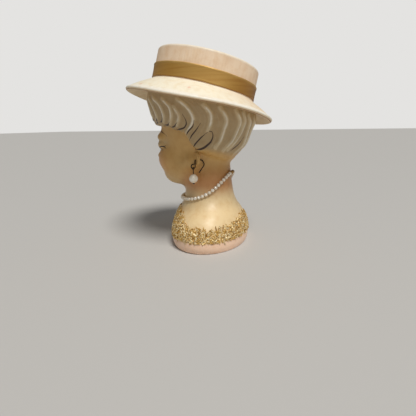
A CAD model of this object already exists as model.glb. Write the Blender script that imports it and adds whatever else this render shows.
import math

import bpy
import numpy as np
from mathutils import Matrix, Vector


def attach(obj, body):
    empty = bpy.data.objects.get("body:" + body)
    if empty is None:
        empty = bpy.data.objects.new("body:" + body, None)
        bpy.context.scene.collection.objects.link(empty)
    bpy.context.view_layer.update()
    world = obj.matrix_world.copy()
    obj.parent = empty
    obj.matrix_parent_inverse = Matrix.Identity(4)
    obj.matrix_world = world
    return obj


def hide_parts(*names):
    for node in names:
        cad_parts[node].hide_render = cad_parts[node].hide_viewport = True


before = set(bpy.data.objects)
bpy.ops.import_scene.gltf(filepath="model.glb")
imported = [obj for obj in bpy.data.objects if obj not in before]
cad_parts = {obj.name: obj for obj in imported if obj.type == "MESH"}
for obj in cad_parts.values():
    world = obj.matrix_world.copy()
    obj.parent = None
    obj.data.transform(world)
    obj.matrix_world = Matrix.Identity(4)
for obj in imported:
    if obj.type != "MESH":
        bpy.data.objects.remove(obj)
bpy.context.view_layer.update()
mm = 0.001
print("stage: frame loaded")

# Sizes are in millimetres in the CAD frame: +Z up, the face looks along -Y, her left side is +X


def tone(red, green, blue):
    shares = [part / 255 for part in (red, green, blue)]
    return tuple(c / 12.92 if c <= 0.04045 else ((c + 0.055) / 1.055) ** 2.4 for c in shares) + (1.0,)


# Camera, floor and light

camera = {
    "place": (281.156, 98.490, 111.996),
    "right": (-0.33619, 0.94168, -0.01469),
    "up": (-0.25168, -0.07480, 0.96492),
    "forward": (-0.90754, -0.32809, -0.26215),
    "lens": 26.2665,
    "sensor": 36.0,
}
studio = {
    "floorSize": 14.0,
    "floorTone": tone(198, 197, 195),
    "floorRoughness": 0.7,
    "worldTone": tone(255, 253, 250),
    "backTone": tone(228, 227, 225),
    "worldStrength": 0.20,
    "sunFrom": (0.36, 0.34, 0.87),
    "sunStrength": 2.5,
    "sunAngle": 20.0,
    "sunTone": (1.0, 0.975, 0.93),
    "fillFrom": (0.55, 0.62, 0.30),
    "fillAim": (0.0, 0.0, 0.08),
    "fillSize": 0.45,
    "fillPower": 0.30,
}


def addCamera():
    data = bpy.data.cameras.new("camera")
    data.lens = camera["lens"]
    data.sensor_width = camera["sensor"]
    data.clip_start = 5 * mm
    eye = bpy.data.objects.new("camera", data)
    bpy.context.scene.collection.objects.link(eye)
    turn = Matrix((camera["right"], camera["up"], [-v for v in camera["forward"]])).transposed()
    eye.matrix_world = Matrix.Translation(Vector(camera["place"]) * mm) @ turn.to_4x4()
    bpy.context.scene.camera = eye


def addStudio():
    bpy.ops.mesh.primitive_plane_add(size=studio["floorSize"], location=(0, 0, 0))
    floor = bpy.context.object
    floor.name = "floor"
    settings = {"Base Color": studio["floorTone"], "Roughness": studio["floorRoughness"]}
    floor.data.materials.append(newFinish("floor", settings)[0])
    world = bpy.data.worlds.new("studio")
    bpy.context.scene.world = world
    world.use_nodes = True
    world.node_tree.nodes.clear()
    rays = addNode(world, "LightPath", {}, {}).outputs
    inputs = {0: rays["Is Camera Ray"], 1: rays["Is Transmission Ray"]}
    seen = addNode(world, "Math", {"operation": "ADD"}, inputs).outputs[0]
    inputs = {"Color": studio["worldTone"], "Strength": studio["worldStrength"]}
    lit = addNode(world, "Background", {}, inputs).outputs[0]
    shown = addNode(world, "Background", {}, {"Color": studio["backTone"]}).outputs[0]
    mix = addNode(world, "MixShader", {}, {0: seen, 1: lit, 2: shown}).outputs[0]
    addNode(world, "OutputWorld", {}, {"Surface": mix})
    sun = bpy.data.lights.new("sun", "SUN")
    sun.energy = studio["sunStrength"]
    sun.angle = math.radians(studio["sunAngle"])
    sun.color = studio["sunTone"]
    fill = bpy.data.lights.new("fill", "AREA")
    fill.energy = studio["fillPower"]
    fill.size = studio["fillSize"]
    aims = {sun: (0, 0, 0), fill: studio["fillAim"]}
    places = {sun: studio["sunFrom"], fill: studio["fillFrom"]}
    for light in aims:
        lamp = bpy.data.objects.new(light.name, light)
        lamp.location = places[light]
        lamp.rotation_mode = "QUATERNION"
        lamp.rotation_quaternion = (Vector(aims[light]) - Vector(places[light])).to_track_quat("-Z", "Y")
        bpy.context.scene.collection.objects.link(lamp)
    bpy.context.scene.view_settings.view_transform = "Standard"


# Finishes: each is a Principled material, fed by the paint that the pieces carry and by fine noise


def newFinish(name, settings):
    finish = bpy.data.materials.new(name)
    finish.use_nodes = True
    shader = finish.node_tree.nodes["Principled BSDF"]
    for key, value in settings.items():
        shader.inputs[key].default_value = value
    return finish, shader


def addNode(finish, kind, settings, inputs):
    node = finish.node_tree.nodes.new("ShaderNode" + kind)
    for key, value in settings.items():
        setattr(node, key, value)
    for key, value in inputs.items():
        if isinstance(value, bpy.types.NodeSocket):
            finish.node_tree.links.new(value, node.inputs[key])
        else:
            node.inputs[key].default_value = value
    return node


def addNoise(finish, scale, detail=3.0, stretch=None):
    place = addNode(finish, "TexCoord", {}, {}).outputs["Object"]
    if stretch:
        place = addNode(finish, "Mapping", {}, {"Vector": place, "Scale": stretch}).outputs["Vector"]
    return addNode(finish, "TexNoise", {}, {"Vector": place, "Scale": scale, "Detail": detail}).outputs[0]


def between01(finish, value, low, high, first=0.0, last=1.0):
    inputs = {"Value": value, "From Min": low, "From Max": high, "To Min": first, "To Max": last}
    return addNode(finish, "MapRange", {}, inputs).outputs["Result"]


def mixTones(finish, share, first, second, mode="MIX"):
    settings = {"data_type": "RGBA", "blend_type": mode}
    return addNode(finish, "Mix", settings, {0: share, 6: first, 7: second}).outputs[2]


def readAttribute(finish, name, kind="Fac"):
    return addNode(finish, "Attribute", {"attribute_name": name}, {}).outputs[kind]


def addBump(finish, shader, height, distance, strength=1.0):
    bump = addNode(finish, "Bump", {}, {"Height": height, "Distance": distance * mm, "Strength": strength})
    finish.node_tree.links.new(bump.outputs["Normal"], shader.inputs["Normal"])


def wire(finish, value, shader, key):
    finish.node_tree.links.new(value, shader.inputs[key])


glaze = {
    "roughness": 0.43,
    "coat": 0.18,
    "coatRoughness": 0.28,
    "shine": 0.45,
    "bump": (0.03, 0.5),
    # noise between the first two values gives shares between the last two
    "mottleShares": (0.45, 0.75, 0.0, 0.55),
    "speckFrom": (0.64, 0.74, 0.0),
    "mottleScale": 210.0,
    "mottle": tone(240, 226, 206),
    "specks": tone(196, 148, 98),
    "speckScale": 900.0,
    "ink": tone(58, 36, 22),
    "lash": tone(30, 24, 22),
    "brow": tone(120, 82, 48),
    "lip": tone(206, 84, 72),
    "mouth": tone(128, 44, 38),
    "line": tone(150, 100, 58),
    "lineSoftness": 0.14,
    # strokes that carry their share of the way across as well, which keeps thin ones whole
    "thinLines": ("ink", "lash", "brow", "mouth"),
    "thinReach": (0.55, 0.35),
    "thinEdge": (1.2, 0.8),
}


def glazeFinish(name, lines, speckShare, duller=0.0):
    finish, shader = newFinish(
        name,
        {
            "Coat Weight": glaze["coat"],
            "Coat Roughness": glaze["coatRoughness"],
            "Specular IOR Level": glaze["shine"],
        },
    )
    colour = readAttribute(finish, "paint", "Color")
    cloud = addNoise(finish, glaze["mottleScale"], 4.0)
    share = between01(finish, cloud, *glaze["mottleShares"])
    colour = mixTones(finish, share, colour, glaze["mottle"], "MULTIPLY")
    grain = addNoise(finish, glaze["speckScale"], 2.0)
    share = between01(finish, grain, *glaze["speckFrom"], speckShare)
    colour = mixTones(finish, share, colour, glaze["specks"], "MULTIPLY")
    for line in lines:
        distance = readAttribute(finish, line)
        share = between01(finish, distance, glaze["lineSoftness"], -glaze["lineSoftness"])
        if line in glaze["thinLines"]:
            near = between01(finish, distance, *glaze["thinReach"])
            across = readAttribute(finish, line + "Across")
            across = addNode(finish, "Math", {"operation": "ABSOLUTE"}, {0: across}).outputs[0]
            share = between01(finish, across, *glaze["thinEdge"])
            share = addNode(finish, "Math", {"operation": "MULTIPLY"}, {0: share, 1: near}).outputs[0]
        colour = mixTones(finish, share, colour, glaze[line])
    wire(finish, colour, shader, "Base Color")
    smoothest = glaze["roughness"] + duller
    wire(finish, between01(finish, cloud, 0.3, 0.7, smoothest, smoothest + 0.1), shader, "Roughness")
    addBump(finish, shader, grain, *glaze["bump"])
    return finish


gilt = {
    "metal": {"band": 0.42, "trim": 0.22},
    "roughness": 0.42,
    "shine": 0.5,
    "bump": (0.04, 0.4),
    "wearShares": (0.4, 0.7, 0.0, 0.4),
    "grainScale": 500.0,
    "streakStretch": (22.0, 22.0, 420.0),
    "wear": tone(206, 178, 132),
}


def giltFinish(name, stretch=None):
    settings = {"Metallic": gilt["metal"][name], "Specular IOR Level": gilt["shine"]}
    finish, shader = newFinish(name + "Gilt", settings)
    colour = readAttribute(finish, "paint", "Color")
    streak = addNoise(finish, 1.0 if stretch else gilt["grainScale"], 3.0, stretch)
    share = between01(finish, streak, *gilt["wearShares"])
    wire(finish, mixTones(finish, share, colour, gilt["wear"], "MULTIPLY"), shader, "Base Color")
    rough = between01(finish, streak, 0.3, 0.7, gilt["roughness"] - 0.06, gilt["roughness"] + 0.1)
    wire(finish, rough, shader, "Roughness")
    addBump(finish, shader, streak, *gilt["bump"])
    return finish


# The CAD's own small pieces keep their meshes and get these finishes
smallParts = {
    "pearl": {
        "nodes": ("necklace_pearls", "left_drop_pearl", "right_drop_pearl"),
        "tones": (tone(244, 238, 226), tone(228, 216, 196)),
        "metal": 0.0, "rough": 0.14, "coat": 0.8, "scale": 260.0,
    },
    "wire": {
        "nodes": ("left_ear_wire", "left_eye_pin", "right_ear_wire", "right_eye_pin"),
        "tones": (tone(44, 37, 32), tone(78, 62, 46)),
        "metal": 0.75, "rough": 0.45, "coat": 0.0, "scale": 700.0,
    },
    "clasp": {
        "nodes": ("clasp_barrel", "clasp_stud"),
        "tones": (tone(206, 162, 84), tone(150, 104, 48)),
        "metal": 0.85, "rough": 0.32, "coat": 0.0, "scale": 700.0,
    },
    "thread": {
        "nodes": ("necklace_thread",),
        "tones": (tone(226, 214, 190), tone(196, 176, 140)),
        "metal": 0.0, "rough": 0.8, "coat": 0.0, "scale": 260.0,
    },
}


def smallFinish(name, look):
    settings = {"Metallic": look["metal"], "Coat Weight": look["coat"], "Coat Roughness": 0.08}
    finish, shader = newFinish(name, settings)
    cloud = addNoise(finish, look["scale"], 2.0)
    share = between01(finish, cloud, 0.35, 0.65)
    wire(finish, mixTones(finish, share, *look["tones"]), shader, "Base Color")
    rough = between01(finish, cloud, 0.35, 0.65, look["rough"], look["rough"] + 0.08)
    wire(finish, rough, shader, "Roughness")
    return finish


def storePaint(piece, colours):
    layer = piece.data.color_attributes.new("paint", "FLOAT_COLOR", "POINT")
    full = np.ones((len(colours), 4))
    full[:, :3] = colours
    layer.data.foreach_set("color", full.ravel())


def storeField(piece, name, values):
    layer = piece.data.attributes.new(name, "FLOAT", "POINT")
    layer.data.foreach_set("value", np.asarray(values, dtype=float))


# Paints layers over a first colour, which is a key of the look or already one for each point
def paintLayers(look, colours, layers):
    if isinstance(colours, str):
        colours = np.tile(np.array(look[colours][:3]), (len(layers[0][0]), 1))
    for share, key in layers:
        share = np.clip(share, 0, 1)[:, None]
        colours = colours * (1 - share) + np.array(look[key][:3]) * share
    return colours


def soften(value, low, high):
    share = np.clip((value - low) / (high - low), 0, 1)
    return share * share * (3 - 2 * share)


# Mesh helpers


def makeActive(piece):
    if bpy.context.object and bpy.context.object.mode != "OBJECT":
        bpy.ops.object.mode_set(mode="OBJECT")
    bpy.ops.object.select_all(action="DESELECT")
    piece.hide_set(False)
    piece.select_set(True)
    bpy.context.view_layer.objects.active = piece


def meshPiece(name, points, faces, edges=()):
    mesh = bpy.data.meshes.new(name)
    mesh.from_pydata(points, edges, faces)
    piece = bpy.data.objects.new(name, mesh)
    bpy.context.scene.collection.objects.link(piece)
    return piece


def applyModifier(piece, kind, **settings):
    makeActive(piece)
    modifier = piece.modifiers.new(kind.lower(), kind)
    for name, value in settings.items():
        setattr(modifier, name, value)
    bpy.ops.object.modifier_apply(modifier=modifier.name)


def readPoints(piece):
    points = np.empty(len(piece.data.vertices) * 3)
    piece.data.vertices.foreach_get("co", points)
    return points.reshape(-1, 3) / mm


def readNormals(piece):
    normals = np.empty(len(piece.data.vertices) * 3)
    piece.data.vertex_normals.foreach_get("vector", normals)
    return normals.reshape(-1, 3)


def writePoints(piece, points):
    piece.data.vertices.foreach_set("co", (points * mm).ravel())
    piece.data.update()


def cleanMesh(piece, merge=True):
    makeActive(piece)
    bpy.ops.object.mode_set(mode="EDIT")
    bpy.ops.mesh.select_all(action="SELECT")
    if merge:
        bpy.ops.mesh.remove_doubles(threshold=0.004 * mm)
    bpy.ops.mesh.normals_make_consistent(inside=False)
    bpy.ops.object.mode_set(mode="OBJECT")


def smoothShade(piece, angle=60):
    makeActive(piece)
    bpy.ops.object.shade_smooth_by_angle(angle=math.radians(angle))


def applyPlace(piece):
    makeActive(piece)
    bpy.ops.object.transform_apply(location=True, rotation=True, scale=True)


def settle(piece, node="cast_body", body="vase"):
    applyPlace(piece)
    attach(piece, body)
    if node:
        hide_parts(node)


# Ovals of the bust, the head's hollow and the hair: a height with half depth, half width and forward shift

bust = {
    "shoulderDepth": 36.8,
    "shoulderWidth": 49.6,
    "neckDepth": 23.4,
    "neckWidth": 23.0,
    "neckFoot": 54.0,
    "nape": 90.0,
    "neckForward": 5.0,
    "footForwardShare": 0.33,
    "spreadShares": [
        (0.0, 0.90), (0.06, 0.97), (0.19, 1.0), (0.37, 0.90),
        (0.56, 0.61), (0.7, 0.29), (0.85, 0.08), (1.0, 0.0),
    ],
    "forwardShares": [(0.2, 0.55), (0.45, 0.75), (0.7, 0.9), (1.0, 1.0)],
    "footRound": 1.0,
}
skull = {
    "chin": 57.5,
    "rise": 78.5,
    "depth": 44.0,
    "width": 34.5,
    "forward": 31.5,
    "shares": [
        (0.11, 0.47, 0.56, 0.83), (0.185, 0.6, 0.68, 0.67), (0.285, 0.715, 0.79, 0.55),
        (0.415, 0.83, 0.87, 0.43), (0.54, 0.9, 0.92, 0.35), (0.695, 0.965, 0.96, 0.28),
        (0.845, 1.0, 0.985, 0.24), (1.2, 1.0, 1.0, 0.24),
    ],
}
hair = {
    "foot": 79.0,
    "rise": 59.0,
    "depth": 51.2,
    "width": 46.0,
    "forward": 8.4,
    "shares": [
        (0.0, 0.41, 0.50, 0.15), (0.085, 0.50, 0.61, 0.25), (0.185, 0.66, 0.69, 0.62),
        (0.29, 0.815, 0.75, 0.96), (0.39, 0.872, 0.78, 1.0), (0.49, 0.908, 0.82, 0.88),
        (0.59, 0.95, 0.875, 0.72), (0.7, 0.975, 0.925, 0.74), (0.9, 0.998, 0.98, 0.89),
        (1.3, 1.0, 1.0, 0.93),
    ],
    # the hollow behind the hairline stops at these shares of the depth and rise
    "windowShares": [
        (-0.47, 0.56), (-0.215, 0.525), (-0.15, 0.405), (-0.086, 0.27),
        (-0.03, 0.17), (0.27, 0.11), (0.45, 0.02),
    ],
}
wall = 4.4
floorThickness = 5.0


def between(low, high, share):
    return low + (high - low) * share


def bustOvals(skin=0.0):
    ovals = []
    for heightShare, spreadShare in bust["spreadShares"]:
        ovals.append((
            bust["neckFoot"] * heightShare,
            between(bust["neckDepth"], bust["shoulderDepth"], spreadShare) + skin,
            between(bust["neckWidth"], bust["shoulderWidth"], spreadShare) + skin,
            bust["neckForward"] * bust["footForwardShare"] * heightShare**2,
        ))
    for heightShare, forwardShare in bust["forwardShares"]:
        ovals.append((
            between(bust["neckFoot"], bust["nape"], heightShare),
            bust["neckDepth"] + skin,
            bust["neckWidth"] + skin,
            bust["neckForward"] * forwardShare,
        ))
    return smoothOvals(ovals)


def shareOvals(form, foot, skin=0.0):
    return smoothOvals([
        (
            form[foot] + form["rise"] * heightShare,
            form["depth"] * depthShare + skin,
            form["width"] * widthShare + skin,
            form["forward"] * forwardShare,
        )
        for heightShare, depthShare, widthShare, forwardShare in form["shares"]
    ])


def passThrough(points, places, at):
    slope = np.gradient(points, places, axis=0)
    low = np.clip(np.searchsorted(places, at, side="right") - 1, 0, len(places) - 2)
    span = (places[low + 1] - places[low])[:, None]
    share = (at - places[low])[:, None] / span
    turn = share**2 * (3 - 2 * share)
    bend = share * (1 - share) * ((1 - share) * slope[low] - share * slope[low + 1]) * span
    return points[low] + (points[low + 1] - points[low]) * turn + bend


def smoothOvals(ovals, count=150):
    ovals = np.array(ovals)
    level = np.linspace(ovals[0, 0], ovals[-1, 0], count)
    smooth = passThrough(ovals, ovals[:, 0], level)
    steep = np.gradient((smooth[:, 1] + smooth[:, 2]) / 2, level)
    return dict(zip(("height", "depth", "width", "forward", "steep"), (level, *smooth.T[1:], steep)))


def ovalAt(ovals, z):
    return [np.interp(z, ovals["height"], ovals[key]) for key in ("depth", "width", "forward", "steep")]


# About how far points lie outside an ellipse or ellipsoid of this size
def roundField(points, size):
    share = np.linalg.norm(points / size, axis=1) + 1e-9
    fall = np.linalg.norm(points / size**2, axis=1) + 1e-9
    return share * (share - 1) / fall


def ovalField(points, ovals):
    depth, width, forward, steep = ovalAt(ovals, points[:, 2])
    flat = np.stack([points[:, 0], points[:, 1] + forward], axis=1)
    return roundField(flat, np.stack([width, depth], axis=1)) / np.sqrt(1 + steep**2)


def ovalStack(name, ovals, low, high, rings=26, sides=72):
    points, faces = [], []
    for z in np.linspace(low, high, rings):
        depth, width, forward = ovalAt(ovals, z)[:3]
        for side in range(sides):
            turn = 2 * math.pi * side / sides
            points.append((width * math.sin(turn) * mm, (-forward - depth * math.cos(turn)) * mm, z * mm))
    for ring in range(rings - 1):
        for side in range(sides):
            a, b = ring * sides + side, ring * sides + (side + 1) % sides
            faces.append((a, b, b + sides, a + sides))
    faces.append(tuple(reversed(range(sides))))
    faces.append(tuple(range((rings - 1) * sides, rings * sides)))
    return meshPiece(name, points, faces)


# Hat: a boater on its own tilted axis, with depths measured down from the crown's rim

hat = {
    "height": 166.6,
    "leanBack": 11.8,
    "leanRight": 6.7,
    "crownRadius": 45.7,
    "crownWall": 4.2,
    "crownFootRadius": 46.3,
    "footWall": 6.0,
    "rimRound": 1.65,
    "bandTop": 13.1,
    "bandWidth": 11.5,
    "bandRelief": 0.75,
    "crownFoot": 26.2,
    "brimRadius": 67.35,
    "brimDrop": 11.4,
    "brimMiddleShare": 0.46,
    "brimRoot": 4.8,
    "brimEdge": 3.2,
    # the crown's side goes on this far under the band. Its foot is given as out and down from the corner
    "bandOverlap": 0.8,
    "footFillet": [(0.0, -2.4), (0.35, -0.9), (1.9, 0.35)],
    "steps": {"side": 0.7, "hidden": 2.0, "fillet": 0.5, "top": 0.9, "under": 1.2},
    "segments": 620,
    "brimWaves": [(1, 0.57, 1.76), (2, -1.99, 0.78), (3, -1.46, 0.68), (5, 4.0, 0.12)],
    "ribs": 124,
    "ribDepth": 0.14,
    # a painted line on the brim's edge: out and down from the edge's middle, and half its width
    "edgeLine": (0.75, 1.35, 0.42),
    "seed": 5,
    "rimTone": tone(246, 234, 214),
    "sideTone": tone(246, 221, 192),
    "strawTone": tone(214, 172, 130),
    "brimTone": tone(252, 244, 222),
    "brimEndTone": tone(240, 208, 172),
    "edgeTone": tone(252, 246, 232),
    "underTone": tone(232, 208, 166),
    "insideTone": tone(238, 222, 192),
    "blemishTone": tone(232, 146, 108),
    # brim and band are darkest opposite this heading
    "paleHeading": -60,
    # heading from her left side, radius and size of each worn spot on the brim
    "blemishes": [
        (-28, 63.5, 1.5), (-24, 65.8, 0.9), (12, 58.0, 1.2),
        (64, 66.0, 1.6), (150, 62.0, 1.3), (215, 64.0, 1.8),
    ],
}


def hatTurn():
    back = Matrix.Rotation(math.radians(-hat["leanBack"]), 4, "X")
    right = Matrix.Rotation(math.radians(-hat["leanRight"]), 4, "Y")
    return Matrix.Translation((0, 0, hat["height"] * mm)) @ right @ back


def curveThrough(points, step):
    points = np.array(points, float)
    reach = np.concatenate([[0], np.cumsum(np.linalg.norm(np.diff(points, axis=0), axis=1))])
    return passThrough(points, reach, np.linspace(0, reach[-1], max(2, int(reach[-1] / step) + 1)))


def arc(middle, radius, start, end, steps):
    return [
        (middle[0] + radius * math.cos(math.radians(a)), middle[1] - radius * math.sin(math.radians(a)))
        for a in np.linspace(start, end, steps)
    ]


def spinOutline(name, outline, segments):
    points = [(radius * mm, 0, -depth * mm) for radius, depth in outline]
    edges = [(i, (i + 1) % len(points)) for i in range(len(points))]
    piece = meshPiece(name, points, [], edges)
    makeActive(piece)
    bpy.ops.object.mode_set(mode="EDIT")
    bpy.ops.mesh.select_all(action="SELECT")
    bpy.ops.mesh.spin(steps=segments, angle=2 * math.pi, center=(0, 0, 0), axis=(0, 0, 1))
    bpy.ops.object.mode_set(mode="OBJECT")
    cleanMesh(piece)
    return piece


def brimMiddle():
    middleDepth = hat["crownFoot"] + hat["brimDrop"] * hat["brimMiddleShare"]
    return (hat["crownFootRadius"] + hat["brimRadius"]) / 2, middleDepth


def hatOutline():
    rim, edge, steps = hat["rimRound"], hat["brimEdge"] / 2, hat["steps"]
    crown, crownFoot = hat["crownRadius"], hat["crownFootRadius"]
    bore, boreFoot = crown - hat["crownWall"], crownFoot - hat["footWall"]
    foot, root = hat["crownFoot"], hat["crownFoot"] + hat["brimRoot"]
    edgeDepth, edgeRadius = foot + hat["brimDrop"], hat["brimRadius"] - edge
    middleRadius, middleDepth = brimMiddle()
    underMiddle = (middleRadius, middleDepth + (hat["brimRoot"] + hat["brimEdge"]) / 2)
    underEdge = (edgeRadius, edgeDepth + 2 * edge)
    atBand = (between(crown, crownFoot, hat["bandTop"] / foot), hat["bandTop"] + hat["bandOverlap"])
    fillet = [(crownFoot + out, foot + down) for out, down in hat["footFillet"]]
    parts = [
        arc((bore + rim, rim), rim, 180, 90, 7),
        arc((crown - rim, rim), rim, 90, 0, 9)[1:],
        curveThrough([(crown, rim), atBand], steps["side"])[1:],
        curveThrough([atBand, fillet[0]], steps["hidden"])[1:],
        curveThrough(fillet, steps["fillet"])[1:],
        curveThrough([fillet[-1], (middleRadius, middleDepth), (edgeRadius, edgeDepth)], steps["top"])[1:],
        arc((edgeRadius, edgeDepth + edge), edge, 90, -90, 9)[1:],
        curveThrough([underEdge, underMiddle, (boreFoot, root)], steps["under"])[1:],
        curveThrough([(boreFoot, root), (bore, rim)], steps["hidden"])[1:-1],
    ]
    return [tuple(point) for part in parts for point in part]


def paintHat(piece, radius, turn, depth):
    edge, foot = hat["brimEdge"] / 2, hat["crownFoot"]
    edgeRadius, edgeDepth = hat["brimRadius"] - edge, foot + hat["brimDrop"] + edge
    middleRadius, middleDepth = brimMiddle()
    topRadii = [hat["crownFootRadius"], middleRadius, edgeRadius]
    topDepth = np.interp(radius, topRadii, [foot, middleDepth, edgeDepth - edge])
    rng = np.random.default_rng(hat["seed"])
    straw = rng.random(hat["ribs"])
    rib = straw[(turn / (2 * math.pi) * hat["ribs"]).astype(int) % hat["ribs"]]
    wash = 0.5 + 0.5 * np.sin(turn * 5 + 1) * np.sin(turn * 11 + depth * 0.35 + 2)
    onBrim = soften(radius, hat["crownFootRadius"] + 0.1, hat["crownFootRadius"] + 0.5)
    end = 0.75 * np.clip(-np.cos(turn - math.radians(hat["paleHeading"])), 0, 1) ** 1.5
    layers = [
        (0.22 * rib * wash + 0.10 * wash, "strawTone"),
        (soften(depth, 2.4, 0.8), "rimTone"),
        (onBrim, "brimTone"),
        (onBrim * end, "brimEndTone"),
    ]
    x, y = radius * np.cos(turn), radius * np.sin(turn)
    for heading, away, size in hat["blemishes"]:
        spot = np.radians(heading)
        gap = np.hypot(x - away * np.cos(spot), y - away * np.sin(spot))
        layers.append((0.55 * np.exp(-((gap / size) ** 2)), "blemishTone"))
    under = (radius < hat["crownFootRadius"] + 0.2) & (depth > foot + 1.5)
    bore = hat["crownRadius"] - hat["crownWall"]
    inside = (radius < bore + 0.6) & (depth > hat["rimRound"]) & (depth < foot + 3)
    layers += [
        (soften(radius, edgeRadius - 2.4, edgeRadius - 0.6), "edgeTone"),
        (soften(depth - topDepth, 1.6, 2.4) * onBrim, "underTone"),
        (under * 1.0, "underTone"),
        (inside * 1.0, "insideTone"),
    ]
    storePaint(piece, paintLayers(hat, "sideTone", layers))
    away, down, half = hat["edgeLine"]
    storeField(piece, "line", np.hypot(radius - edgeRadius - away, depth - edgeDepth - down) - half)


def makeHat():
    piece = spinOutline("hat", hatOutline(), hat["segments"])
    points = readPoints(piece)
    radius = np.hypot(points[:, 0], points[:, 1])
    turn = np.arctan2(points[:, 1], points[:, 0])
    depth = -points[:, 2]
    paintHat(piece, radius, turn, depth)
    crownFoot = hat["crownFootRadius"]
    out = np.clip((radius - crownFoot - 1) / (hat["brimRadius"] - crownFoot), 0, 1)
    wave = sum(size * np.sin(count * turn + shift) for count, shift, size in hat["brimWaves"])
    points[:, 2] += wave * out**1.5
    crown = (radius > hat["crownRadius"] - 0.4) & (radius < crownFoot + 0.1)
    fade = np.clip((depth - 1.2) / 1.6, 0, 1) * np.clip((hat["bandTop"] + 0.5 - depth) / 0.8, 0, 1) * crown
    patch = 0.55 + 0.45 * np.sin(turn * 3 + 1.3) * np.sin(turn * 7 + depth * 0.2)
    rib = hat["ribDepth"] * fade * patch * (np.abs(np.sin(turn * hat["ribs"] / 2)) - 1)
    points[:, :2] *= (1 + rib / radius)[:, None]
    writePoints(piece, points)
    piece.matrix_world = hatTurn()
    smoothShade(piece)
    return piece


band = {
    "tone": tone(190, 144, 68),
    "light": tone(210, 172, 100),
    "dark": tone(146, 98, 42),
    # outline points, out from the band's face and down from its top or foot, with a faint hollow between
    "topForm": [(-0.2, 0.12), (0.06, 0.45), (0.1, 0.95), (-0.05, 1.35)],
    "footForm": [(0.08, -0.8), (0.02, -0.3), (-0.3, 0.0)],
    "hollow": [(-0.14, 1.6), (-0.2, 0.0), (-0.05, -1.3)],
    "seatDepth": 0.8,
    "segments": 256,
}


def makeHatBand():
    relief, top, foot = hat["bandRelief"], hat["bandTop"], hat["bandTop"] + hat["bandWidth"]
    seat, face = hat["crownRadius"] - band["seatDepth"], hat["crownFootRadius"] + relief
    starts = (top, (top + foot) / 2, foot)
    hollow = [(face + out, start + down) for start, (out, down) in zip(starts, band["hollow"])]
    outline = [(seat, top + 0.4), (face - relief + 0.05, top)]
    outline += [(face + out, top + down) for out, down in band["topForm"]]
    outline += [tuple(point) for point in curveThrough(hollow, 1.0)]
    outline += [(face + out, foot + down) for out, down in band["footForm"]] + [(seat, foot - 0.1)]
    piece = spinOutline("hatBand", outline, band["segments"])
    points = readPoints(piece)
    turn = np.arctan2(points[:, 1], points[:, 0])
    depth = -points[:, 2]
    edge = np.abs(depth - (top + foot) / 2) / (hat["bandWidth"] / 2)
    points[:, 2] += 0.14 * np.sin(turn * 5 + 0.7) * edge + 0.07 * np.sin(turn * 17 + 2) * edge
    writePoints(piece, points)
    layers = [
        (0.8 * np.clip(-np.cos(turn - math.radians(hat["paleHeading"])), 0, 1) ** 2, "dark"),
        (0.5 * soften(np.sin(turn * 2 + 0.8), 0.2, 1.0), "light"),
        (0.8 * soften(depth, top + 2.0, top + 1.0), "light"),
        (0.6 * soften(depth, foot - 0.9, foot - 0.2), "dark"),
    ]
    storePaint(piece, paintLayers(band, "tone", layers))
    piece.matrix_world = hatTurn()
    smoothShade(piece)
    return piece


# Hair relief, drawn on a map of heading and height and read from there by the modelling and the paint.
# Heading 0 is the front, 90 her left side and 180 the back

reliefMap = {
    "step": 0.25,
    "low": 70.0,
    "high": 146.0,
    "perDegree": 0.80,
    # the distance that stands for no stroke or crest near, and how far each kind is drawn
    "far": 9.0,
    "reaches": {"crest": 9.0, "fine": 3.0, "ink": 3.0},
    "edgeFar": 99.0,
    "edgeSearch": 48,
    # the far side mirrors the near one, turned and lowered by this
    "mirrorTurn": 1.5,
    "mirrorDrop": 0.4,
}
# The fringe's locks: heading of the tip, its height and how wide the lock is
fringeLocks = [
    (6.5, 112.8, 7.0), (19.5, 112.2, 7.2), (33.0, 111.8, 7.0), (46.5, 111.2, 6.6), (58.5, 110.4, 6.2),
    (69.0, 108.2, 6.0), (79.5, 106.8, 6.6),
]
lockTipBend, lockReach = 2.4, 1.6
# Where the hair ends behind the fringe, as heading and height
sideHairline = [
    (79.5, 106.8), (83.5, 106.2), (86.5, 104.2), (89.0, 101.0), (91.5, 97.4), (93.5, 93.6), (96.5, 90.6),
    (106.0, 89.0), (118.0, 87.5), (130.0, 85.5), (145.0, 83.5), (160.0, 82.2), (180.0, 82.0),
]
# Crests of the locks, each with its height and half width
ridgeLines = [
    ([(0.75, 141), (0.75, 131), (0.75, 124), (0.75, 117)], 0.8, 1.0),
    ([(10, 140), (15, 131), (16, 124), (13, 118)], 0.9, 1.1),
    ([(22, 139), (30, 130), (31, 123), (26, 117.5)], 0.9, 1.1),
    ([(34, 138), (44, 128), (45, 121), (40, 117)], 0.9, 1.1),
    ([(47, 136), (58, 129), (59, 121), (54, 115.5)], 1.0, 1.15),
    ([(64, 134), (72, 127), (70, 119), (64.5, 114)], 0.95, 1.1),
    ([(78, 127), (81, 120), (75, 113)], 0.7, 1.0),
    ([(84, 133), (94, 126), (98, 118), (94, 111), (86, 104)], 1.1, 1.25),
    ([(112, 128), (118, 121), (118, 114), (117, 108)], 1.0, 1.2),
    ([(128, 126), (135, 117), (136, 109), (135, 100), (127, 93)], 0.8, 1.3),
    ([(145, 124), (152, 114), (153, 107), (151, 100), (138, 90)], 0.85, 1.1),
    ([(155, 122), (159, 113), (160, 106), (154, 97), (146, 91)], 0.7, 1.0),
    ([(163, 120), (170, 110), (172, 102), (172, 94), (162, 86)], 0.9, 1.1),
    ([(176, 119), (181, 108), (181, 98), (176, 88)], 0.7, 1.0),
]
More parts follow.
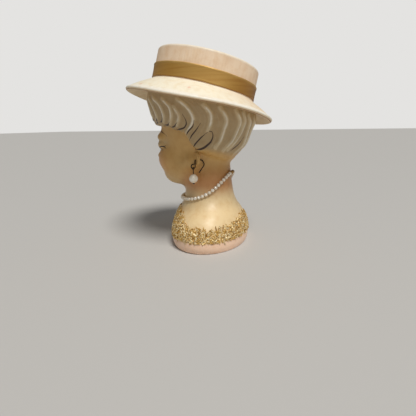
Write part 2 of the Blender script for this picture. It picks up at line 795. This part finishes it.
# Fine combing between the crests
fineLines = [
    ([(5, 137), (8, 129), (8, 120)], 0.3, 0.6),
    ([(16, 137), (22, 129), (22, 119)], 0.3, 0.6),
    ([(29, 136), (37, 128), (37, 119)], 0.3, 0.6),
    ([(42, 135), (51, 128), (52, 120)], 0.32, 0.6),
    ([(56, 134), (65, 127), (64, 119)], 0.3, 0.6),
    ([(72, 131), (78, 126), (76, 118)], 0.28, 0.6),
    ([(90, 134), (101, 127), (106, 118), (101, 109), (90, 101)], 0.35, 0.7),
    ([(98, 133), (108, 125), (112, 116), (108, 107), (94, 97)], 0.35, 0.7),
    ([(104, 132), (113, 124), (115, 116), (112, 110)], 0.25, 0.6),
    ([(120, 127), (126, 118), (128, 110), (127, 102)], 0.35, 0.8),
    ([(124, 108), (128, 102), (124, 96), (116, 91)], 0.35, 0.8),
    ([(139, 124), (144, 114), (145, 106), (142, 98), (132, 90)], 0.3, 0.7),
    ([(150, 121), (156, 112), (156, 104), (150, 96)], 0.28, 0.6),
    ([(168, 116), (176, 106), (177, 96), (170, 87)], 0.3, 0.7),
]
# Dark painted strokes with their half width
inkLines = [
    ([(13, 122), (14, 118.5), (11, 116), (5, 115.2)], 0.45),
    ([(28, 122), (28.5, 118.5), (25, 115.8), (18, 114.6)], 0.5),
    ([(42, 123), (43, 119), (40, 116), (33, 114.4)], 0.55),
    ([(57, 126.5), (56, 121.9), (55, 118.6), (51, 116.2), (46, 115.6)], 0.72),
    ([(51.5, 113.8), (59, 112.9), (65, 114.8)], 0.6),
    ([(64, 110.8), (71, 111.9), (76, 114.4)], 0.62),
    ([(86, 121), (88, 117.5), (88.5, 114.3), (86, 111), (80, 109.5), (71, 108.9)], 0.7),
    ([(99, 116), (97, 111.5), (92, 107.6), (87.5, 103.4)], 0.6),
    ([(106, 113.6), (102, 108.6), (96.5, 104), (92.5, 99.8)], 0.64),
    ([(117, 106.4), (111, 102.9), (104, 98.6), (95.5, 93.9)], 0.64),
    (
        [(119, 107.5), (122.5, 106.8), (125, 103.4), (123.5, 99.2), (117, 95.4), (105, 92.2), (95, 92.1)],
        0.86,
    ),
    ([(168.5, 101.5), (164, 96), (153, 90)], 0.6),
]


hairRelief = {
    "crestWidth": 0.92,
    "groove": 0.22,
    "grooveWidth": 0.8,
    "scoop": 0.8,
    "scoopWidth": 2.3,
    "fadeOverSkin": 1.6,
    "fadeOverEdge": 0.9,
}


def bothSides(lines):
    turn, drop = reliefMap["mirrorTurn"], reliefMap["mirrorDrop"]
    mirrored = [[(turn - heading, height - drop) for heading, height in line[0]] for line in lines]
    return lines + [(corners, *line[1:]) for corners, line in zip(mirrored, lines)]


def mapAxes():
    step = reliefMap["step"]
    return np.arange(-180, 180, step), np.arange(reliefMap["low"], reliefMap["high"], step)


def alongPath(flat, path):
    start, run = path[:-1], np.diff(path, axis=0)
    gap = flat[..., None, :] - start
    part = np.clip((gap * run).sum(axis=-1) / (run**2).sum(axis=1), 0, 1)
    rest = gap - part[..., None] * run
    away = np.linalg.norm(rest, axis=-1)
    nearest = away.argmin(axis=-1)[..., None]
    across = rest[..., 0] * run[:, 1] - rest[..., 1] * run[:, 0]
    tables = (away, across, part)
    distance, across, part = (np.take_along_axis(table, nearest, axis=-1)[..., 0] for table in tables)
    return distance, np.sign(across), (nearest[..., 0] + part) / len(run)


def drawOnMap(lines, reach, mark):
    headings, heights = mapAxes()
    scale, step = reliefMap["perDegree"], reliefMap["step"]
    for line in lines:
        path = curveThrough([(heading * scale, height) for heading, height in line[0]], 0.6)
        low, high = path.min(0) - reach, path.max(0) + reach
        left, right = (low[0] / scale + 180) / step, (high[0] / scale + 180) / step
        columns = np.arange(math.floor(left), int(right) + 1)
        under, over = (low[1] - heights[0]) / step, (high[1] - heights[0]) / step
        rows = np.arange(max(0, int(under)), min(len(heights), int(over) + 1))
        flat = np.stack(np.meshgrid((columns * step - 180) * scale, heights[rows], indexing="ij"), axis=-1)
        mark(np.ix_(columns % len(headings), rows), line, *alongPath(flat, path))


def drawHair():
    headings, heights = mapAxes()
    shape = (len(headings), len(heights))
    crest, fine = np.zeros(shape), np.zeros(shape)
    away, ink, inkAcross = (np.full(shape, reliefMap["far"]) for field in range(3))

    def markCrest(cells, line, distance, side, share):
        taper = np.clip(share / 0.12, 0, 1) * np.clip((1 - share) / 0.25, 0.35, 1)
        width = line[2] * hairRelief["crestWidth"]
        crest[cells] = np.maximum(crest[cells], line[1] * taper * np.exp(-((distance / width) ** 2)))
        away[cells] = np.minimum(away[cells], distance)

    def markFine(cells, line, distance, side, share):
        taper = np.sin(np.pi * np.clip(share, 0.02, 0.98)) ** 0.5
        fine[cells] = np.maximum(fine[cells], line[1] * taper * np.exp(-((distance / line[2]) ** 2)))

    def markInk(cells, line, distance, side, share):
        width = line[1] * np.clip(share / 0.35, 0.3, 1) * np.clip((1 - share) / 0.2, 0.4, 1)
        nearer = distance - width < ink[cells]
        inkAcross[cells] = np.where(nearer, side * distance / width, inkAcross[cells])
        ink[cells] = np.minimum(ink[cells], distance - width)

    reaches = reliefMap["reaches"]
    drawOnMap(bothSides(ridgeLines), reaches["crest"], markCrest)
    drawOnMap(bothSides(fineLines), reaches["fine"], markFine)
    drawOnMap(bothSides(inkLines), reaches["ink"], markInk)
    groove = -hairRelief["groove"] * np.exp(-((np.maximum(ink, 0) / hairRelief["grooveWidth"]) ** 2))
    scoop = -hairRelief["scoop"] * (1 - np.exp(-((away / hairRelief["scoopWidth"]) ** 2)))
    reliefMap["relief"] = crest + fine + scoop + groove
    reliefMap["ink"], reliefMap["inkAcross"] = ink, inkAcross
    reliefMap["crest"] = crest + fine
    s, around = headings * reliefMap["perDegree"], 360 * reliefMap["perDegree"]
    side = np.interp(np.abs(headings), *np.array(sideHairline).T)
    edge = np.where(np.abs(headings) < sideHairline[0][0], 200.0, side)
    for heading, height, width in fringeLocks:
        for sign in (-1, 1):
            tip = height + lockTipBend * ((headings - sign * heading) / width) ** 2
            near = np.abs(headings - sign * heading) < width * lockReach
            edge = np.where(near, np.minimum(edge, tip), edge)
    line = np.stack([s, edge], axis=1)
    distance, search = np.full(shape, reliefMap["edgeFar"]), reliefMap["edgeSearch"]
    for shift in range(-search, search + 1):
        other = np.roll(line, shift, axis=0)
        gap = other[:, 0] - s
        gap = (gap + around / 2) % around - around / 2
        distance = np.minimum(distance, np.hypot(gap[:, None], heights[None, :] - other[:, 1][:, None]))
    reliefMap["edge"] = np.where(heights[None, :] < edge[:, None], distance, -distance)


def onMap(points, key):
    table, step = reliefMap[key], reliefMap["step"]
    column = (hairHeading(points) + 180) / step
    row = np.clip((points[:, 2] - reliefMap["low"]) / step, 0, table.shape[1] - 1.001)
    left, under = np.floor(column).astype(int), np.floor(row).astype(int)
    a, b = column - left, row - under
    left, right = left % table.shape[0], (left + 1) % table.shape[0]
    low = table[left, under] * (1 - a) + table[right, under] * a
    high = table[left, under + 1] * (1 - a) + table[right, under + 1] * a
    return low * (1 - b) + high * b


# Head: rounded forms blended into each other. Those off the middle are made on both sides

faceForms = {
    "cranium": {"at": (0, -6, 112), "size": (32.5, 42, 38)},
    "face": {"at": (0, -21.5, 85), "size": (26.0, 26, 30), "blend": 8},
    "jaw": {"at": (0, -26, 70.5), "size": (19.0, 20.5, 13.0), "blend": 8},
    "jawCorner": {"at": (8, -35, 66), "to": (25.0, -8, 81), "size": 6.0, "blend": 8},
    "cheek": {"at": (13.0, -33.5, 81.5), "size": (12.5, 14.0, 12.5), "blend": 6},
    "chin": {"at": (0, -39.0, 65.6), "size": (8.0, 8.2, 7.4), "blend": 6},
    "brow": {"at": (10.5, -42.0, 101.5), "size": (10.0, 7.0, 5.0), "blend": 6},
    "socket": {"at": (14.0, -53.0, 95.0), "size": (8.5, 7.2, 5.8), "blend": 5, "carve": True},
    "eyeball": {"at": (14.0, -41.3, 95.2), "size": (7.2, 6.2, 5.4), "blend": 1.6},
    "noseBridge": {"at": (0, -46.6, 101.0), "to": (0, -52.6, 84.6), "size": 2.3, "blend": 3.6},
    "noseTip": {"at": (0, -53.2, 83.0), "size": (3.3, 3.2, 2.9), "blend": 2.2},
    "noseWing": {"at": (3.3, -50.2, 81.6), "size": (2.1, 2.9, 2.0), "blend": 1.2},
    "nostril": {"at": (2.0, -52.2, 79.5), "size": (0.95, 1.4, 1.0), "blend": 0.7, "carve": True},
    "mouthMound": {"at": (0, -41.8, 72.5), "size": (9.5, 7.0, 6.5), "blend": 4},
    "philtrum": {"at": (0, -50.6, 77.2), "size": (1.3, 1.8, 2.6), "blend": 1.4, "carve": True},
    "upperLip": {"at": (2.5, -46.9, 73.6), "size": (4.2, 2.7, 1.5), "blend": 0.8},
    "lowerLip": {"at": (0, -46.7, 70.7), "size": (5.0, 2.9, 1.8), "blend": 0.9},
    "mouthLine": {
        "at": (0, -49.6, 72.05), "to": (4.6, -48.4, 72.2), "size": 0.32, "blend": 0.9, "carve": True,
    },
    "underLip": {"at": (0, -49.6, 67.6), "size": (4.2, 2.2, 1.4), "blend": 2.2, "carve": True},
}
lobes = {
    "turn": 45.0,
    "out": 29.2,
    "forward": 2.0,
    "thickness": 2.6,
    "edgeRound": 1.6,
    "halfWidth": 4.4,
    "halfHeight": 5.8,
    "holeHeight": 82.6,
    "holeDrop": 1.4,
    "holeRadius": 0.58,
    "blend": 1.1,
}
headSizes = {
    "voxel": 0.61,
    "hairBlend": 1.2,
    "napeBlend": 7.0,
    "napeHeadings": (92.0, 118.0),
    "napeRound": 6.0,
    "hairEdgeRound": 3.4,
    "neckBlend": 6.0,
    "seamFront": (-25.0, 43.5),
    "seamBack": (21.0, 66.0),
    "hatSink": 4.3,
    "spare": 3.0,
    # the mesh settles on its field in steps up to this, and its points go this far to their neighbours' mean
    "longestStep": 1.2,
    "relax": 0.6,
    # from where to where the first blocks and the hollows go
    "neckBlock": (38.0, 94.0),
    "hairBlock": (112.0, 152.0),
    "neckHollow": (30.0, 90.0),
    "headHollow": (66.1, 151.7),
    "crownHollow": (79.0, 155.7),
}
bustSizes = {"voxel": 0.8, "block": (0.0, 86.0), "hollow": (floorThickness, 86.0)}

neckOvals = bustOvals()
hairOvals = shareOvals(hair, "foot")


def softMin(a, b, blend):
    mix = np.maximum(blend - np.abs(a - b), 0) / blend
    return np.minimum(a, b) - mix * mix * blend / 4


def softMax(a, b, blend):
    return -softMin(-a, -b, blend)


def formField(points, form):
    start = np.array(form["at"], float)
    if "to" in form:
        run = np.array(form["to"], float) - start
        along = np.clip((points - start) @ run / (run @ run), 0, 1)
        return np.linalg.norm(points - start - along[:, None] * run, axis=1) - form["size"]
    return roundField(points - start, np.array(form["size"], float))


def lobeAxes():
    turn = math.radians(lobes["turn"])
    through = np.array([math.cos(turn), -math.sin(turn), 0])
    hole = np.array([lobes["out"], -lobes["forward"], lobes["holeHeight"]])
    return hole, through, np.cross(through, (0, 0, 1))


def lobeField(points):
    hole, through, across = lobeAxes()
    local = points - hole - np.array([0, 0, lobes["holeDrop"]])
    flat = np.stack([local @ across, local[:, 2]], axis=1)
    rim = roundField(flat, np.array([lobes["halfWidth"], lobes["halfHeight"]]))
    return softMax(rim, np.abs(local @ through) - lobes["thickness"] / 2, lobes["edgeRound"])


def skinField(points):
    sided = points.copy()
    sided[:, 0] = np.abs(sided[:, 0])
    field = None
    for form in faceForms.values():
        value = formField(sided, form)
        if field is None:
            field = value
        elif form.get("carve"):
            field = softMax(field, -value, form["blend"])
        else:
            field = softMin(field, value, form["blend"])
    above = points[:, 2] - bust["nape"] - headSizes["napeRound"]
    neck = softMax(ovalField(points, neckOvals), above, headSizes["napeRound"])
    field = softMin(field, neck, headSizes["neckBlend"])
    return softMin(field, lobeField(sided), lobes["blend"])


def hairField(points):
    return softMax(ovalField(points, hairOvals), onMap(points, "edge"), headSizes["hairEdgeRound"])


def raiseLocks(piece):
    points = readPoints(piece)
    skin, cap, edge = skinField(points), hairField(points), onMap(points, "edge")
    fade = hairRelief["fadeOverEdge"]
    share = soften(skin - cap, 0.0, hairRelief["fadeOverSkin"]) * soften(-edge, -fade, fade)
    lift = onMap(points, "relief") * share
    out = slopeOf(castingField, points)
    out /= np.maximum(np.linalg.norm(out, axis=1, keepdims=True), 1e-6)
    writePoints(piece, points + out * lift[:, None])


def hairHeading(points):
    forward = np.interp(points[:, 2], hairOvals["height"], hairOvals["forward"])
    return np.degrees(np.arctan2(points[:, 0], -(points[:, 1] + forward)))


def castingField(points):
    behind = soften(np.abs(hairHeading(points)), *headSizes["napeHeadings"])
    blend = between(headSizes["hairBlend"], headSizes["napeBlend"], behind)
    field = softMin(skinField(points), hairField(points), blend)
    seam, below = seamPlane()
    foot, up = hatFootPlane()
    beyond = headSizes["spare"]
    field = np.maximum(field, (points - np.array(seam)) @ -np.array(below) - beyond)
    return np.maximum(field, (points - np.array(foot)) @ np.array(up) - beyond)


def bustField(points):
    field = softMax(ovalField(points, neckOvals), -points[:, 2], bust["footRound"])
    seam, up = seamPlane()
    return np.maximum(field, (points - np.array(seam)) @ np.array(up) - headSizes["spare"])


def slopeOf(field, points, small=0.04):
    value = field(points)
    return np.stack([(field(points + small * axis) - value) / small for axis in np.eye(3)], axis=1)


def shapeTo(piece, field, rounds):
    edges = np.empty(len(piece.data.edges) * 2, int)
    piece.data.edges.foreach_get("vertices", edges)
    first, second = edges.reshape(-1, 2).T
    points = readPoints(piece)
    count = np.bincount(edges, minlength=len(points))[:, None]

    def settlePoints(points, steps):
        for step in range(steps):
            value, slope = field(points), slopeOf(field, points)
            move = slope * (value / np.maximum((slope**2).sum(axis=1), 0.25))[:, None]
            length = np.linalg.norm(move, axis=1, keepdims=True)
            points = points - move * np.minimum(1, headSizes["longestStep"] / np.maximum(length, 1e-9))
        return points

    points = settlePoints(points, 4)
    for turn in range(rounds):
        total = np.zeros_like(points)
        for axis in range(3):
            total[:, axis] = np.bincount(first, points[second, axis], len(points))
            total[:, axis] += np.bincount(second, points[first, axis], len(points))
        points = settlePoints(between(points, total / count, headSizes["relax"]), 1)
    writePoints(piece, settlePoints(points, 1))


def blockOut(name, forms, stacks, voxel):
    parts = list(stacks)
    for form in forms:
        if form.get("carve"):
            continue
        size = form["size"] if isinstance(form["size"], tuple) else (form["size"],) * 3
        for side in (-1, 1) if form["at"][0] else (1,):
            for share in np.linspace(0, 1, 9) if "to" in form else (0,):
                start = np.array(form["at"], float)
                place = start + share * (np.array(form.get("to", form["at"])) - start)
                place[0] *= side
                bpy.ops.mesh.primitive_uv_sphere_add(
                    segments=32, ring_count=16, radius=1, location=place * mm, scale=[s * mm for s in size]
                )
                parts.append(bpy.context.object)
    makeActive(parts[0])
    for part in parts:
        part.select_set(True)
    bpy.ops.object.join()
    piece = bpy.context.object
    piece.name = name
    applyPlace(piece)
    applyModifier(piece, "REMESH", mode="VOXEL", voxel_size=voxel * mm)
    return piece


def lobeBlocks():
    blocks = []
    hole, through, across = lobeAxes()
    for side in (-1, 1):
        bpy.ops.mesh.primitive_cylinder_add(vertices=32, radius=1, depth=1)
        block = bpy.context.object
        lean = Matrix((across, (0, 0, 1), through)).transposed().to_4x4()
        sizes = [lobes[key] * mm for key in ("halfWidth", "halfHeight", "thickness")]
        size = Matrix.Diagonal((*sizes, 1))
        place = Matrix.Translation(Vector(hole + np.array([0, 0, lobes["holeDrop"]])) * mm)
        block.matrix_world = Matrix.Diagonal((side, 1, 1, 1)) @ place @ lean @ size
        blocks.append(block)
    return blocks


def takeAway(piece, tool):
    applyModifier(piece, "BOOLEAN", operation="DIFFERENCE", object=tool, solver="MANIFOLD")
    bpy.data.objects.remove(tool)


def aimTool(tool, place, normal):
    tool.rotation_mode = "QUATERNION"
    tool.rotation_quaternion = Vector(normal).to_track_quat("Z", "Y")
    tool.location = Vector(place) * mm
    applyPlace(tool)
    return tool


def cutAway(piece, point, normal, reach=120.0):
    bpy.ops.mesh.primitive_cube_add(size=1)
    bpy.context.object.scale = (2 * reach * mm, 2 * reach * mm, reach * mm)
    middle = Vector(point) + Vector(normal).normalized() * reach / 2
    takeAway(piece, aimTool(bpy.context.object, middle, normal))


def seamPlane():
    front, back = Vector((0,) + headSizes["seamFront"]), Vector((0,) + headSizes["seamBack"])
    normal = Vector((1, 0, 0)).cross(back - front).normalized()
    return front, normal


def hatFootPlane():
    up = hatTurn().to_3x3() @ Vector((0, 0, 1))
    return Vector((0, 0, hat["height"])) - up * (hat["crownFoot"] + headSizes["hatSink"]), up


def hairWindow():
    line = [
        (hair["depth"] * depthShare + wall, hair["foot"] + hair["rise"] * riseShare + wall)
        for depthShare, riseShare in hair["windowShares"]
    ]
    low, front, side = hair["foot"] - wall, -90.0, 70.0
    outline = [(front, line[0][1])] + line + [(line[-1][0], low), (front, low)]
    points = [(x * mm, y * mm, z * mm) for x in (-side, side) for y, z in outline]
    count = len(outline)
    faces = [tuple(range(count)), tuple(reversed(range(count, 2 * count)))]
    faces += [(i, i + count, (i + 1) % count + count, (i + 1) % count) for i in range(count)]
    piece = meshPiece("hairWindow", points, faces)
    cleanMesh(piece)
    return piece


def makeHead():
    stacks = [
        ovalStack("neckBlock", neckOvals, *headSizes["neckBlock"]),
        ovalStack("hairBlock", hairOvals, *headSizes["hairBlock"]),
    ] + lobeBlocks()
    piece = blockOut("headCasting", faceForms.values(), stacks, headSizes["voxel"])
    shapeTo(piece, castingField, 4)
    raiseLocks(piece)
    print("stage: head shaped", len(piece.data.vertices))
    takeAway(piece, ovalStack("neckHollow", bustOvals(-wall), *headSizes["neckHollow"]))
    takeAway(piece, ovalStack("headHollow", shareOvals(skull, "chin", -wall), *headSizes["headHollow"]))
    crownHollow = ovalStack("crownHollow", shareOvals(hair, "foot", -wall), *headSizes["crownHollow"])
    takeAway(crownHollow, hairWindow())
    takeAway(piece, crownHollow)
    hole, through = lobeAxes()[:2]
    for side in (-1, 1):
        bpy.ops.mesh.primitive_cylinder_add(
            vertices=24, radius=lobes["holeRadius"] * mm, depth=3 * lobes["thickness"] * mm
        )
        mirror = np.array([side, 1, 1])
        takeAway(piece, aimTool(bpy.context.object, hole * mirror, through * mirror))
    front, normal = seamPlane()
    cutAway(piece, front, -normal)
    cutAway(piece, *hatFootPlane())
    smoothShade(piece)
    return piece


def makeBust():
    block = ovalStack("bustBlock", neckOvals, *bustSizes["block"])
    piece = blockOut("bustCasting", [], [block], bustSizes["voxel"])
    shapeTo(piece, bustField, 2)
    points = readPoints(piece)
    points[points[:, 2] < 0.03, 2] = 0
    writePoints(piece, points)
    takeAway(piece, ovalStack("bustHollow", bustOvals(-wall), *bustSizes["hollow"]))
    front, normal = seamPlane()
    cutAway(piece, front, normal)
    smoothShade(piece)
    return piece


# Paint on the casting. The marks of the face are drawn in front view, as x and height

castingPaint = {
    "skin": tone(233, 207, 160),
    "face": tone(207, 166, 100),
    "warm": tone(186, 114, 52),
    "blush": tone(234, 160, 118),
    "hair": tone(205, 186, 149),
    "crest": tone(252, 248, 236),
    "flute": tone(166, 138, 95),
    "lid": tone(176, 188, 176),
    "rim": tone(246, 210, 182),
    "inside": tone(226, 208, 176),
    "wash": tone(206, 166, 96),
    "blushAt": (17.5, -41.0, 80.0),
    "blushSize": 8.5,
    "lidAt": (14.0, 97.0),
    "lidSize": (8.0, 3.6),
    "faceHeights": (50.0, 74.0),
    "warmHeights": (44.0, 60.0, 84.0),
    "rimHeight": 9.8,
    "hairHeights": (80.0, 142.0),
    # strokes, lids and lips are painted only in front of these places
    "strokesFrom": -28.0,
    "lidsFrom": -30.0,
    "lipsFrom": -38.0,
    # where the hair's paint fades at the side: its heading, the turn over which it widens, and its widths
    "sideFade": {"heading": 84.0, "turn": 30.0, "from": 0.3, "to": (2.0, 7.0)},
}
lashLines = [
    ([(7.2, 93.6), (10.5, 91.7), (14.2, 91.0), (18.2, 91.8), (21.6, 94.4)], 0.42),
    ([(9.2, 92.3), (8.4, 90.6)], 0.22),
    ([(11.6, 91.3), (11.2, 89.2)], 0.24),
    ([(14.2, 91.0), (14.4, 88.6)], 0.26),
    ([(16.6, 91.3), (17.6, 89.0)], 0.26),
    ([(18.8, 92.1), (20.6, 90.1)], 0.26),
    ([(20.6, 93.4), (23.0, 92.0)], 0.26),
]
browLines = [([(6.6, 104.2), (10.5, 106.9), (15.5, 107.7), (20.5, 106.0), (23.6, 103.0)], 0.42)]
lipForms = [((2.3, 73.5), (3.7, 1.4)), ((0.0, 70.6), (4.9, 1.75)), ((0.0, 72.1), (6.4, 0.8))]
mouthLines = [([(0.0, 72.0), (2.2, 72.2), (4.4, 72.0), (6.3, 72.5)], 0.24)]


def storeFrontLines(piece, name, points, lines):
    near, across = (np.full(len(points), reliefMap["far"]) for field in range(2))
    front = np.flatnonzero(points[:, 1] < castingPaint["strokesFrom"])
    flat = np.stack([np.abs(points[front, 0]), points[front, 2]], axis=1)
    for corners, width in lines:
        path = curveThrough(corners, 0.5)
        box = ((flat > path.min(0) - 3) & (flat < path.max(0) + 3)).all(axis=1)
        distance, side, share = alongPath(flat[box], path)
        half = width * np.clip((1 - share) / 0.3, 0.4, 1)
        at = front[box]
        across[at] = np.where(distance - half < near[at], side * distance / half, across[at])
        near[at] = np.minimum(near[at], distance - half)
    storeField(piece, name, near)
    storeField(piece, name + "Across", across)


def paintCasting(piece, field):
    points = readPoints(piece)
    look = castingPaint
    inside = (readNormals(piece) * slopeOf(field, points)).sum(axis=1) < 0
    skin, cap = skinField(points), hairField(points)
    z = points[:, 2]
    edge, crest, relief = onMap(points, "edge"), onMap(points, "crest"), onMap(points, "relief")
    heading = np.abs(np.degrees(np.arctan2(points[:, 0], -(points[:, 1] + hair["forward"]))))
    low, middle, high = look["warmHeights"]
    warm = soften(z, low, middle) * soften(z, high, middle)
    inward = soften(np.hypot(points[:, 0], points[:, 1]), 34, 24)
    sided = np.abs(points[:, 0])
    x, y, height = look["blushAt"]
    gap = np.sqrt((sided - x) ** 2 + (points[:, 1] - y) ** 2 + (z - height) ** 2) / look["blushSize"]
    lidX, lidHeight = look["lidAt"]
    lidWidth, lidRise = look["lidSize"]
    lid = np.hypot((sided - lidX) / lidWidth, (z - lidHeight) / lidRise)
    skinLayers = [
        (soften(z, *look["faceHeights"]), "face"),
        (0.7 * warm * inward, "warm"),
        (0.5 * np.exp(-(gap**2)), "blush"),
        (0.45 * np.exp(-(lid**2)) * (points[:, 1] < look["lidsFrom"]), "lid"),
    ]
    onHair = soften(skin - cap, -0.45, 0.45)
    side = look["sideFade"]
    width = between(*side["to"], np.clip((heading - side["heading"]) / side["turn"], 0, 1))
    fade = np.where(heading > side["heading"], soften(-edge, side["from"], width), 1.0)
    onHair = (onHair * fade * (z > 78))[:, None]
    hairLayers = [
        (0.75 * soften(-relief, 0.05, 0.62), "flute"),
        (0.7 * soften(crest, 0.25, 1.0), "crest"),
    ]
    colours = paintLayers(look, "skin", skinLayers) * (1 - onHair)
    colours += paintLayers(look, "hair", hairLayers) * onHair
    trimTop = trimHeight(np.arctan2(points[:, 0], -points[:, 1]))
    wash = soften(z, look["rimHeight"], trim["foot"] + 1.5) * soften(z, trimTop - 0.5, trimTop - 3.5)
    lastLayers = [
        (0.7 * wash, "wash"),
        (soften(z, look["rimHeight"] + 1.6, look["rimHeight"]), "rim"),
        (inside * 1.0, "inside"),
    ]
    storePaint(piece, paintLayers(look, colours, lastLayers))
    points = np.where(inside[:, None], 0.0, points)
    under, over = look["hairHeights"]
    onHead = (points[:, 2] > under) & (z < over)
    for key in ("ink", "inkAcross"):
        storeField(piece, key, np.where(onHead, onMap(points, key), reliefMap["far"]))
    storeFrontLines(piece, "lash", points, lashLines)
    storeFrontLines(piece, "brow", points, browLines)
    storeFrontLines(piece, "mouth", points, mouthLines)
    lip = np.full(len(points), reliefMap["far"])
    for (x, height), (width, rise) in lipForms:
        share = np.hypot((sided - x) / width, (z - height) / rise)
        lip = np.minimum(lip, (share - 1) * min(width, rise))
    storeField(piece, "lip", np.where(points[:, 1] < look["lipsFrom"], lip, reliefMap["far"]))


# Shredded clay pressed round the shoulders

trim = {
    "count": 3400,
    "seed": 11,
    "foot": 10.8,
    # where the band ends above, as heading from the front and height
    "topLine": [
        (0, 35.5), (45, 34.8), (64, 30.8), (73, 26.6), (82, 24.4), (97, 23.2),
        (111, 22.2), (125, 22.6), (145, 24.2), (165, 27.8), (180, 30.2),
    ],
    # headings are drawn against this height, so that the lower places get fewer shreds
    "tallest": 36.2,
    "ragged": 1.7,
    "length": (1.7, 3.9),
    "radius": (0.34, 0.52),
    "lift": (0.05, 0.85),
    "curl": 0.7,
    # below 1, this moves shreds upwards
    "crowding": 0.92,
    "rings": 5,
    "sides": 5,
    "tones": [
        tone(196, 152, 72), tone(214, 176, 98), tone(246, 230, 186),
        tone(234, 208, 148), tone(168, 122, 50),
    ],
    "toneShares": (0.18, 0.22, 0.32, 0.22, 0.06),
    "crevice": tone(160, 120, 58),
}


def trimHeight(turn):
    return np.interp(np.degrees(np.abs(turn)), *np.array(trim["topLine"], dtype=float).T)


def onBust(turn, z, lift):
    depth, width, forward, steep = ovalAt(neckOvals, z)
    place = np.stack([width * np.sin(turn), -forward - depth * np.cos(turn), z], axis=-1)
    out = np.stack([np.sin(turn) / width, -np.cos(turn) / depth, 0 * turn], axis=-1)
    out /= np.linalg.norm(out, axis=-1, keepdims=True)
    out[..., 2] = -steep
    out /= np.linalg.norm(out, axis=-1, keepdims=True)
    return place + out * lift[..., None], out


def makeTrim():
    rng = np.random.default_rng(trim["seed"])
    count, rings, sides = trim["count"], trim["rings"], trim["sides"]
    turn = rng.uniform(-math.pi, math.pi, count * 3)
    keep = rng.random(count * 3) * (trim["tallest"] - trim["foot"]) < trimHeight(turn) - trim["foot"]
    turn = turn[keep][:count]
    count = len(turn)
    top = trimHeight(turn) + rng.normal(0, trim["ragged"] * 0.5, count)
    z = between(trim["foot"] + rng.normal(0, 0.5, count), top, rng.random(count) ** trim["crowding"])
    aim, curl = rng.uniform(0, 2 * math.pi, count), rng.normal(0, trim["curl"], count)
    length, radius = rng.uniform(*trim["length"], count), rng.uniform(*trim["radius"], count)
    lift = rng.uniform(*trim["lift"], count)
    along = np.linspace(-0.5, 0.5, rings)[None, :] * length[:, None]
    lean = aim[:, None] + curl[:, None] * along
    step = length[:, None] / (rings - 1)
    u, w = (np.cumsum(wave(lean) * step, axis=1) for wave in (np.cos, np.sin))
    u, w = u - u.mean(axis=1, keepdims=True), w - w.mean(axis=1, keepdims=True)
    steep = np.interp(z, neckOvals["height"], neckOvals["steep"])
    path = np.linspace(0, 1, rings)[None, :]
    wave = np.sin(path * math.pi * rng.integers(1, 4, count)[:, None] + rng.uniform(0, 3, count)[:, None])
    hump = radius[:, None] * 0.5 + lift[:, None] * (0.55 + 0.45 * wave)
    height = z[:, None] + w / np.sqrt(1 + steep[:, None] ** 2)
    heading = turn[:, None] + u / between(bust["shoulderDepth"], bust["shoulderWidth"], 0.5)
    place, out = onBust(heading, height, hump)
    ahead = np.gradient(place, axis=1)
    ahead /= np.linalg.norm(ahead, axis=2, keepdims=True)
    side = np.cross(ahead, out)
    side /= np.linalg.norm(side, axis=2, keepdims=True)
    over = np.cross(side, ahead)
    thick = radius[:, None] * np.sqrt(np.clip(1 - (2 * path - 1) ** 6 * 0.8, 0, 1))
    circle = np.linspace(0, 2 * math.pi, sides, endpoint=False)
    ring = np.cos(circle)[:, None] * over[:, :, None] + np.sin(circle)[:, None] * side[:, :, None]
    points = place[:, :, None] + ring * thick[:, :, None, None]
    faces = []
    for r in range(rings - 1):
        for s in range(sides):
            a, b = r * sides + s, r * sides + (s + 1) % sides
            faces.append((a, b, b + sides, a + sides))
    faces += [tuple(range(sides)), tuple(reversed(range((rings - 1) * sides, rings * sides)))]
    each = rings * sides
    allFaces = [tuple(corner + shred * each for corner in face) for shred in range(count) for face in faces]
    piece = meshPiece("goldTrim", points.reshape(-1, 3) * mm, allFaces)
    cleanMesh(piece, merge=False)
    tones = np.array(trim["tones"])[rng.choice(len(trim["tones"]), count, p=trim["toneShares"]), :3]
    colours = np.repeat(tones, each, axis=0)
    inner = np.tile(soften(-np.cos(circle), -0.2, 1.0), count * rings)
    low = np.repeat(soften(hump.ravel(), 0.75, 0.25), sides)
    storePaint(piece, paintLayers(trim, colours, [(0.55 * inner + 0.35 * low, "crevice")]))
    smoothShade(piece)
    return piece


def giveFinish(piece, finish):
    piece.data.materials.clear()
    piece.data.materials.append(finish)
    piece.data.polygons.foreach_set("material_index", [0] * len(piece.data.polygons))


def dress(nodes, finish):
    for node in nodes:
        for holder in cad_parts[node].material_slots:
            holder.material = finish


addCamera()
addStudio()
drawHair()
print("stage: hair drawn")
hatPiece, bandPiece = makeHat(), makeHatBand()
print("stage: hat made")
headPiece, bustPiece = makeHead(), makeBust()
paintCasting(headPiece, castingField)
paintCasting(bustPiece, bustField)
print("stage: casting made")
trimPiece = makeTrim()
print("stage: trim made")

giveFinish(hatPiece, glazeFinish("hatGlaze", ["line"], 0.12, 0.12))
skinGlaze = glazeFinish("skinGlaze", ["ink", "brow", "lash", "lip", "mouth"], 0.10)
giveFinish(headPiece, skinGlaze)
giveFinish(bustPiece, skinGlaze)
giveFinish(bandPiece, giltFinish("band", gilt["streakStretch"]))
giveFinish(trimPiece, giltFinish("trim"))
for piece in (hatPiece, headPiece, bustPiece):
    settle(piece)
settle(bandPiece)
settle(trimPiece, "collar_trim")

for name, look in smallParts.items():
    dress(look["nodes"], smallFinish(name, look))
print("stage: finishes set")
